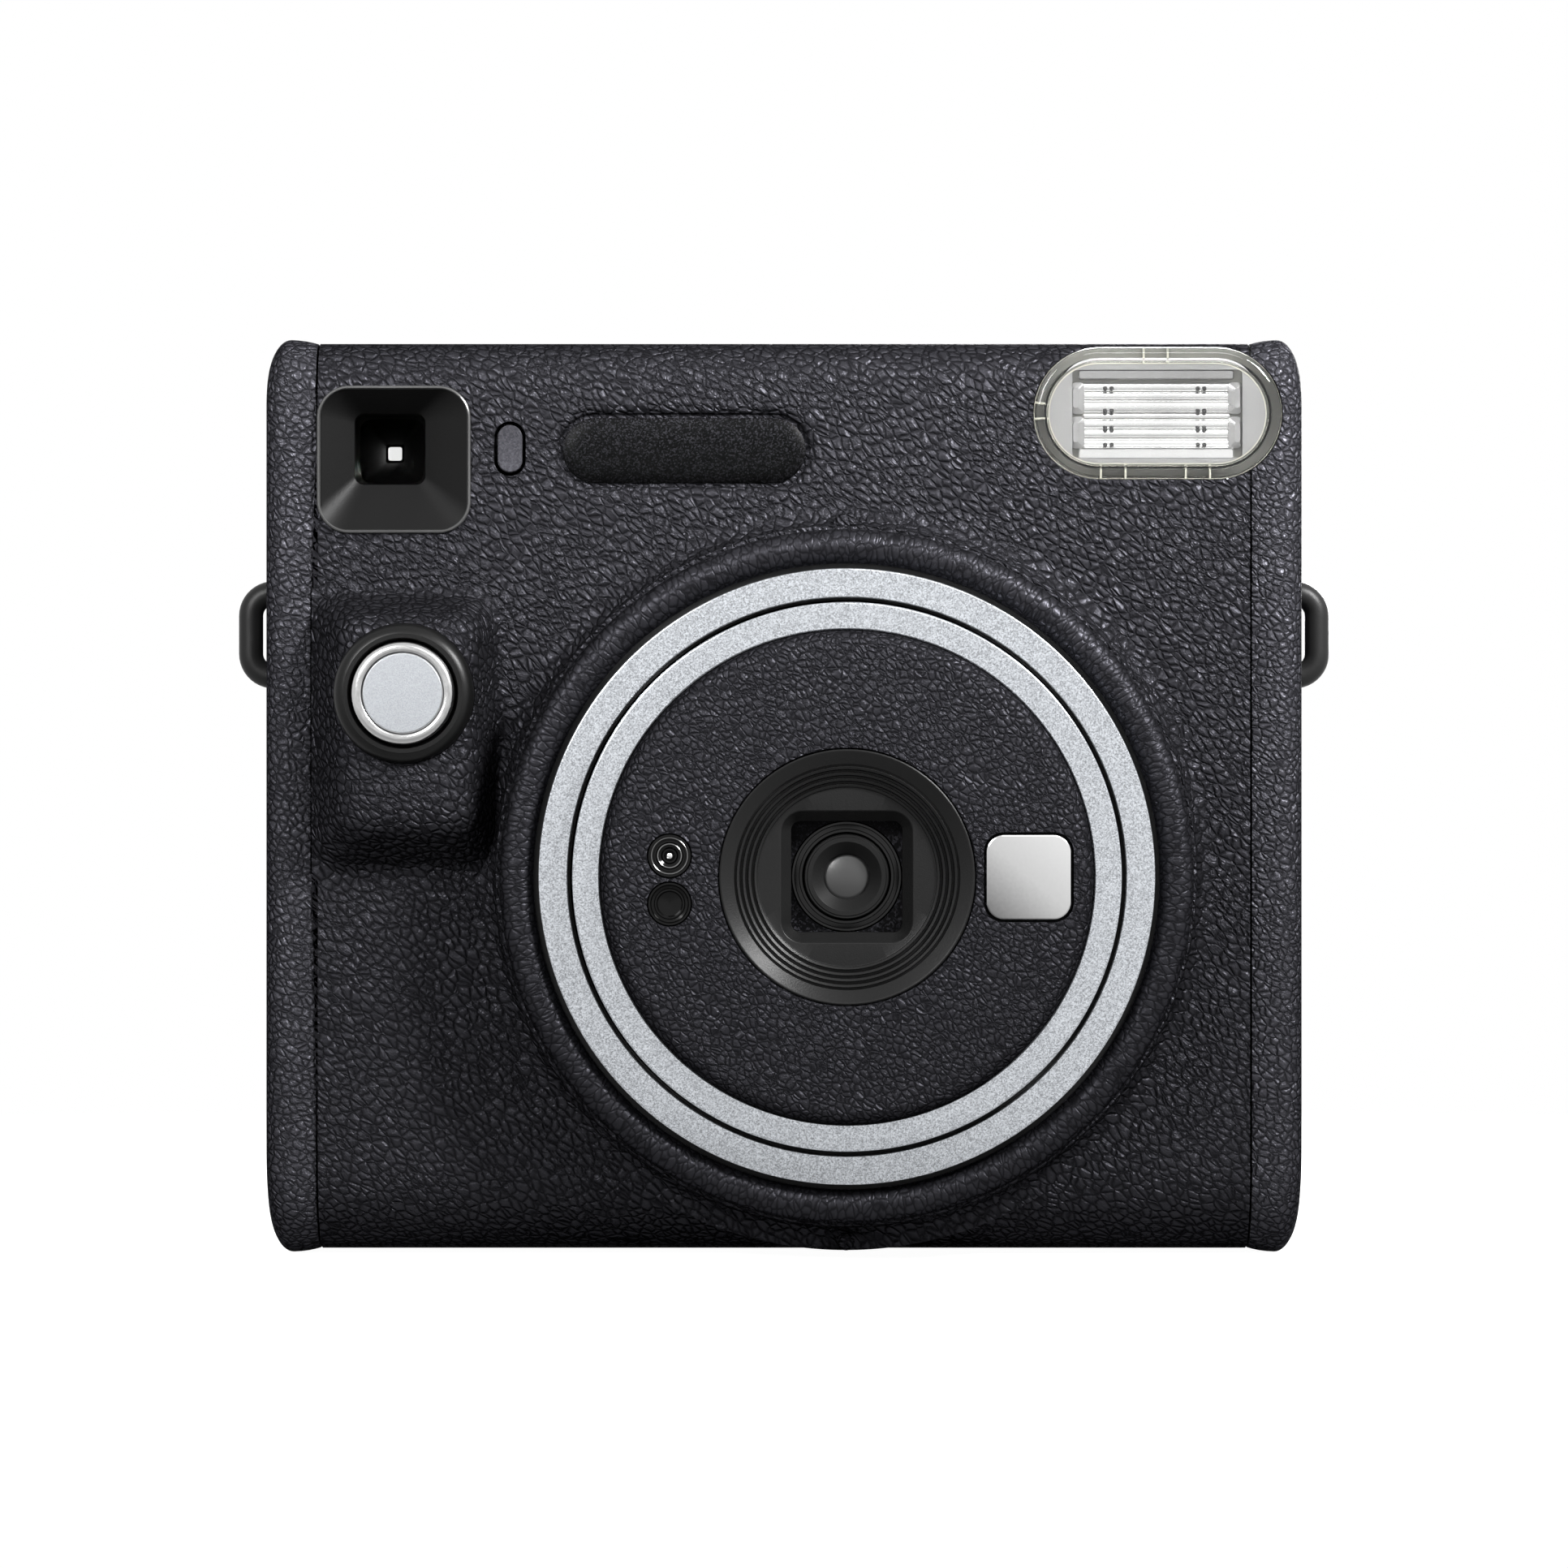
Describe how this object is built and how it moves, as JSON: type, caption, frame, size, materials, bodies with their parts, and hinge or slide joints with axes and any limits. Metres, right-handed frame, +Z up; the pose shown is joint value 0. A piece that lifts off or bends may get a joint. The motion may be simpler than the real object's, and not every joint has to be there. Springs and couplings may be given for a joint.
{
  "type": "instant camera",
  "caption": "Boxy instant camera with a grained black case, raised grip, large turning lens ring, flash, viewfinder, film door and a film slot in its top.",
  "frame": {"origin": "bottom centre of the whole camera, on the surface it stands on", "axes": "+Z up; the lens looks along -Y; +X is to the right as the lens side is seen"},
  "size_m": [0.144, 0.0606, 0.1188],
  "materials": {
    "grained_black": "leather grain, satin",
    "black_leather": "fine grain, satin",
    "satin_black": "satin",
    "gloss_black": "polished",
    "silver_ring": "fine sparkle",
    "button_silver": "satin face, polished edge",
    "clear_glass": "polished",
    "smoked_window": "smoked",
    "flash_lens": "clear with frosted back",
    "mirror_silver": "polished",
    "reflector_chrome": "bright",
    "badge_grey": "dark speckle",
    "steel": "brushed",
    "battery_wrap": "printed wrap, plain",
    "chassis_black": "moulded",
    "gear_white": "moulded",
    "foam_seal": "soft foam",
    "board_green": "lacquered",
    "capacitor_sleeve": "shrink sleeve"
  },
  "bodies": {
    "camera": {"front_cover": "grained_black", "rear_cover": "grained_black", "grip_side_cover": "grained_black", "flash_side_cover": "grained_black", "case_screws": "steel", "strap_lugs": "satin_black", "barrel_guide": "chassis_black", "shutter_bezel": "gloss_black", "shutter_spring": "steel", "shutter_switch": "chassis_black", "viewfinder_bezel": "gloss_black", "viewfinder_tube": "chassis_black", "viewfinder_lens": "clear_glass", "viewfinder_eyepiece": "satin_black", "light_sensor_window": "smoked_window", "badge_plate": "badge_grey", "flash_window": "flash_lens", "flash_reflector": "reflector_chrome", "flash_tube": "clear_glass", "film_chassis": "chassis_black", "light_cone": "chassis_black", "motor": "steel", "door_hinge_pin": "steel", "door_light_seal": "foam_seal", "battery_holder": "chassis_black", "batteries": "battery_wrap", "battery_contacts": "steel", "battery_hinge_pin": "steel", "counter_window": "clear_glass", "main_board": "board_green", "flash_capacitor": "capacitor_sleeve"},
    "mode_ring": {"mode_ring": "black_leather", "mode_ring_trim": "silver_ring"},
    "lens_barrel": {"lens_barrel": "satin_black", "cam_pins": "steel", "barrel_trim": "silver_ring", "barrel_face": "black_leather", "selfie_mirror": "mirror_silver", "upper_sensor_window": "gloss_black", "lower_sensor_window": "gloss_black", "lens_bezel": "satin_black", "lens_cell": "satin_black", "front_lens": "clear_glass", "rear_lens": "clear_glass", "shutter_housing": "chassis_black"},
    "shutter_blade": {"shutter_blade": "steel"},
    "shutter_button": {"shutter_button": "button_silver"},
    "film_door": {"film_door": "grained_black", "pack_window": "clear_glass", "pack_springs": "steel"},
    "door_latch": {"door_latch": "satin_black"},
    "battery_door": {"battery_door": "grained_black"},
    "drive_roller": {"drive_roller": "steel", "drive_roller_gear": "gear_white"},
    "driven_roller": {"driven_roller": "steel", "driven_roller_gear": "gear_white"},
    "idler_gear": {"idler_gear": "gear_white"},
    "motor_pinion": {"motor_pinion": "steel"},
    "pick_claw": {"pick_claw": "steel"},
    "counter_disc": {"counter_disc": "satin_black"}
  },
  "joints": [
    {"name": "mode_ring_turn", "type": "hinge", "parent": "camera", "child": "mode_ring", "pos_m": [0.008, -0.0245, 0.0493], "axis": [0, 1, 0], "range_deg": [0, 60]},
    {"name": "lens_extend", "type": "slide", "parent": "camera", "child": "lens_barrel", "axis": [0, -1, 0], "range_m": [0, 0.008]},
    {"name": "shutter_blade_swing", "type": "hinge", "parent": "lens_barrel", "child": "shutter_blade", "pos_m": [-0.0015, -0.0175, 0.0493], "axis": [0, 1, 0], "range_deg": [0, 50], "stiffness_Nm_per_rad": 0.0002, "springref_deg": -17.19},
    {"name": "shutter_press", "type": "slide", "parent": "camera", "child": "shutter_button", "axis": [0, 1, 0], "range_m": [0, 0.0015], "stiffness_N_per_m": 400, "springref_m": -0.0005, "deforming": ["shutter_spring"]},
    {"name": "film_door_open", "type": "hinge", "parent": "camera", "child": "film_door", "pos_m": [-0.041, 0.0288, 0.055], "axis": [0, 0, 1], "range_deg": [0, 100]},
    {"name": "door_latch_slide", "type": "slide", "parent": "camera", "child": "door_latch", "axis": [0, 0, -1], "range_m": [0, 0.003], "stiffness_N_per_m": 100, "springref_m": -0.002},
    {"name": "battery_door_open", "type": "hinge", "parent": "camera", "child": "battery_door", "pos_m": [-0.06605, 0.008, 0.0122], "axis": [0, -1, 0], "range_deg": [0, 90]},
    {"name": "drive_roller_spin", "type": "hinge", "parent": "camera", "child": "drive_roller", "pos_m": [0.008, 0.011, 0.104], "axis": [1, 0, 0], "continuous": true},
    {"name": "driven_roller_spin", "type": "hinge", "parent": "camera", "child": "driven_roller", "pos_m": [0.008, 0.019, 0.104], "axis": [1, 0, 0], "continuous": true},
    {"name": "idler_spin", "type": "hinge", "parent": "camera", "child": "idler_gear", "pos_m": [0.0512, 0.01284, 0.09214], "axis": [1, 0, 0], "continuous": true},
    {"name": "motor_spin", "type": "hinge", "parent": "camera", "child": "motor_pinion", "pos_m": [0.0512, 0.003, 0.0955], "axis": [1, 0, 0], "continuous": true},
    {"name": "pick_claw_stroke", "type": "slide", "parent": "camera", "child": "pick_claw", "axis": [0, 0, 1], "range_m": [0, 0.006]},
    {"name": "counter_turn", "type": "hinge", "parent": "camera", "child": "counter_disc", "pos_m": [0.04, 0.025, 0.1075], "axis": [0, 1, 0], "range_deg": [0, 324]}
  ],
  "couplings": [
    {"joint": "lens_extend", "follows": "mode_ring_turn", "m_per_rad": 0.0076394},
    {"joint": "driven_roller_spin", "follows": "drive_roller_spin", "ratio": -1},
    {"joint": "idler_spin", "follows": "drive_roller_spin", "ratio": -0.5},
    {"joint": "motor_spin", "follows": "drive_roller_spin", "ratio": 1.6667}
  ]
}
